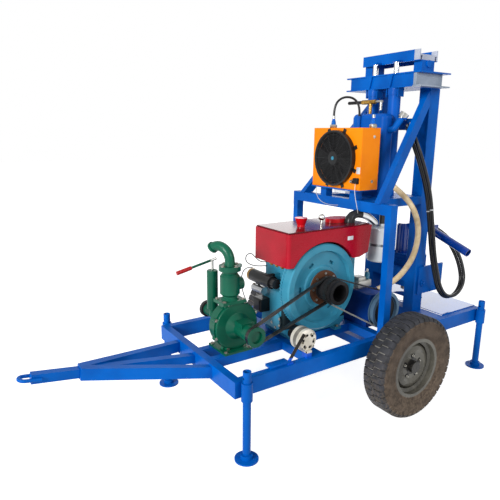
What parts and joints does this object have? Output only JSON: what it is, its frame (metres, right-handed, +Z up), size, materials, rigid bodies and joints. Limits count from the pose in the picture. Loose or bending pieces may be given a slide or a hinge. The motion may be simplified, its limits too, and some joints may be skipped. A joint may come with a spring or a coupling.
{
  "type": "water well drilling rig",
  "caption": "Trailer-mounted water well drilling rig: two-wheeled frame with drawbar and legs, engine, mud pump, oil cooler and a mast with a sliding power head",
  "frame": {"origin": "middle of the bounding box on the ground", "axes": "+X forward to the drawbar, +Y to the left, +Z up"},
  "size_m": [3.3543, 1.532, 2.386],
  "materials": {
    "frame_paint": "gloss blue paint on steel",
    "leg_paint": "gloss blue paint on steel",
    "barrel_paint": "gloss blue paint on steel",
    "rod_chrome": "hard chrome",
    "engine_paint": "teal paint on cast iron",
    "hopper_paint": "gloss red paint",
    "fitting_paint": "black paint",
    "pipe_steel": "zinc-plated steel",
    "canister_paint": "silver-white paint",
    "drum_iron": "dark cast iron",
    "belt_rubber": "black belt rubber",
    "pump_paint": "green paint on cast iron",
    "gear_iron": "black-painted cast iron",
    "gearbox_paint": "gloss blue paint",
    "spindle_steel": "machined steel",
    "cooler_paint": "orange paint",
    "core_aluminium": "finned aluminium",
    "fan_plastic": "black moulded plastic",
    "tank_paint": "gloss blue paint",
    "hose_rubber": "black hydraulic hose",
    "hose_plastic": "beige ribbed suction hose",
    "tyre_rubber": "dusty tyre rubber",
    "rim_paint": "dark paint on pressed steel"
  },
  "bodies": {
    "chassis": {"chassis_frame": "frame_paint", "drawbar": "frame_paint", "tow_eye": "frame_paint", "axle": "frame_paint", "gantry_frame": "frame_paint", "mast_columns": "frame_paint", "mast_head_beam": "frame_paint", "mast_braces": "frame_paint", "rear_deck": "frame_paint", "lift_barrels": "barrel_paint", "engine_crankcase": "engine_paint", "engine_head": "engine_paint", "water_hopper": "hopper_paint", "hopper_fittings": "fitting_paint", "fuel_filter": "fitting_paint", "starter_motor": "fitting_paint", "exhaust_elbow": "pipe_steel", "shutoff_valve": "pipe_steel", "cooler_fittings": "pipe_steel", "filler_neck": "pipe_steel", "air_cleaner": "canister_paint", "pump_belt": "belt_rubber", "hydraulic_belt": "belt_rubber", "mud_pump": "pump_paint", "suction_pipe": "pump_paint", "check_valve": "pump_paint", "discharge_elbow": "pump_paint", "priming_pump": "pump_paint", "hydraulic_pump": "gear_iron", "alternator": "gear_iron", "cooler_case": "cooler_paint", "fan_shroud": "cooler_paint", "cooler_core": "core_aluminium", "oil_tank": "tank_paint", "head_hose_inner": "hose_rubber", "head_hose_outer": "hose_rubber", "cooler_hose": "hose_rubber", "suction_hose": "hose_plastic"},
    "wheel_left": {"tyre_left": "tyre_rubber", "rim_left": "rim_paint"},
    "wheel_right": {"tyre_right": "tyre_rubber", "rim_right": "rim_paint"},
    "leg_fl": {"leg_front_left": "leg_paint"},
    "leg_fr": {"leg_front_right": "leg_paint"},
    "leg_rl": {"leg_rear_left": "leg_paint"},
    "leg_rr": {"leg_rear_right": "leg_paint"},
    "crown": {"crown_beam": "frame_paint", "lift_rods": "rod_chrome"},
    "head": {"head_carriage": "frame_paint", "head_gearbox": "gearbox_paint", "head_motor": "gear_iron", "swivel_pipe": "pipe_steel"},
    "spindle": {"head_spindle": "spindle_steel"},
    "crank": {"flywheel": "engine_paint", "belt_drum": "drum_iron"},
    "pump_shaft": {"mud_pump_pulley": "drum_iron"},
    "hydraulic_shaft": {"hydraulic_pulley": "drum_iron"},
    "fan": {"fan_rotor": "fan_plastic"}
  },
  "joints": [
    {"name": "wheel_left_spin", "type": "hinge", "parent": "chassis", "child": "wheel_left", "pos_m": [-0.57611, 0.68, 0.343], "axis": [0, 1, 0], "continuous": true},
    {"name": "wheel_right_spin", "type": "hinge", "parent": "chassis", "child": "wheel_right", "pos_m": [-0.57611, -0.68, 0.343], "axis": [0, 1, 0], "continuous": true},
    {"name": "crown_lift", "type": "slide", "parent": "chassis", "child": "crown", "axis": [0, 0, 1], "range_m": [0, 0.62]},
    {"name": "head_lift", "type": "slide", "parent": "chassis", "child": "head", "axis": [0, 0, 1], "range_m": [0, 1.24]},
    {"name": "spindle_spin", "type": "hinge", "parent": "head", "child": "spindle", "pos_m": [-1.355, 0, 0.555], "axis": [0, 0, 1], "continuous": true},
    {"name": "crank_spin", "type": "hinge", "parent": "chassis", "child": "crank", "pos_m": [-0.144, 0.378, 0.845], "axis": [0, 1, 0], "continuous": true},
    {"name": "pump_shaft_spin", "type": "hinge", "parent": "chassis", "child": "pump_shaft", "pos_m": [0.421, 0.345, 0.645], "axis": [0, 1, 0], "continuous": true},
    {"name": "hydraulic_shaft_spin", "type": "hinge", "parent": "chassis", "child": "hydraulic_shaft", "pos_m": [-0.619, 0.405, 0.628], "axis": [0, 1, 0], "continuous": true},
    {"name": "fan_spin", "type": "hinge", "parent": "chassis", "child": "fan", "pos_m": [-0.4847, 0, 1.654], "axis": [1, 0, 0], "continuous": true},
    {"name": "leg_front_left_slide", "type": "slide", "parent": "chassis", "child": "leg_fl", "axis": [0, 0, 1], "range_m": [0, 0.3]},
    {"name": "leg_front_right_slide", "type": "slide", "parent": "chassis", "child": "leg_fr", "axis": [0, 0, 1], "range_m": [0, 0.3]},
    {"name": "leg_rear_left_slide", "type": "slide", "parent": "chassis", "child": "leg_rl", "axis": [0, 0, 1], "range_m": [0, 0.3]},
    {"name": "leg_rear_right_slide", "type": "slide", "parent": "chassis", "child": "leg_rr", "axis": [0, 0, 1], "range_m": [0, 0.3]}
  ],
  "couplings": [
    {"joint": "head_lift", "follows": "crown_lift", "ratio": 2},
    {"joint": "pump_shaft_spin", "follows": "crank_spin", "ratio": 1.5},
    {"joint": "hydraulic_shaft_spin", "follows": "crank_spin", "ratio": 0.63934}
  ]
}
